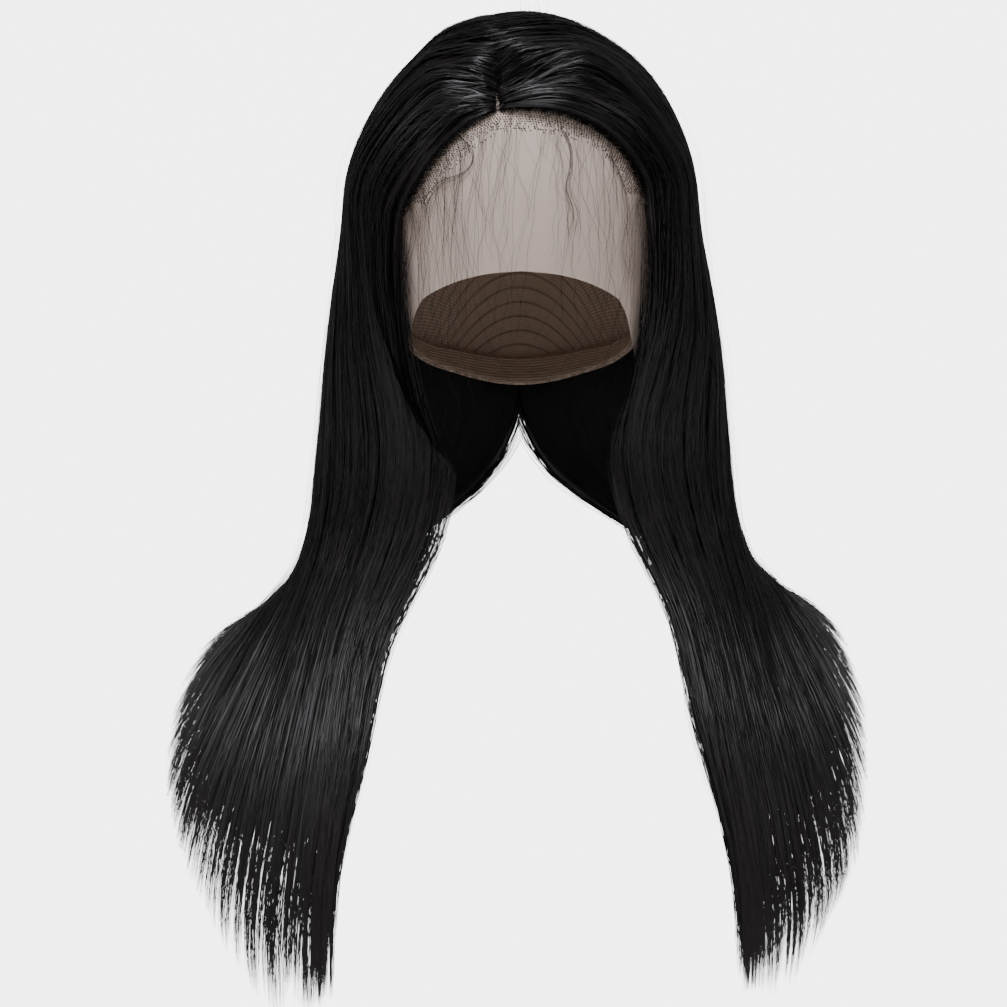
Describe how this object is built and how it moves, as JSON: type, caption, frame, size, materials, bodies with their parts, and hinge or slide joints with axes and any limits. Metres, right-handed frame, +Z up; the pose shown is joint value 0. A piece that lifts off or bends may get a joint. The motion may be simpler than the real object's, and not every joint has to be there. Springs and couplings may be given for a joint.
{
  "type": "lace front wig",
  "caption": "Long straight black wig on a thin net cap with a sheer lace front, parted near the middle and drawn forward over both shoulders.",
  "frame": {"origin": "inside the top of the cap, where the crown of the head bears on it", "axes": "+Z up along the hanging hair, -Y the way the face looks, +X to the wearer's left"},
  "size_m": [0.3564, 0.2175, 0.511],
  "materials": {
    "black_hair": "off-black straight strands with a soft gloss",
    "sheer_lace": "sheer skin-toned net",
    "cap_net": "matt beige stretch net",
    "elastic": "matt beige ribbed elastic"
  },
  "bodies": {
    "root": {"wig_cap": "cap_net", "lace_front": "sheer_lace", "nape_band": "elastic", "front_hair_left": "black_hair", "front_hair_right": "black_hair", "side_hair_left": "black_hair", "side_hair_right": "black_hair", "back_hair_left": "black_hair", "back_hair_right": "black_hair"}
  },
  "joints": []
}
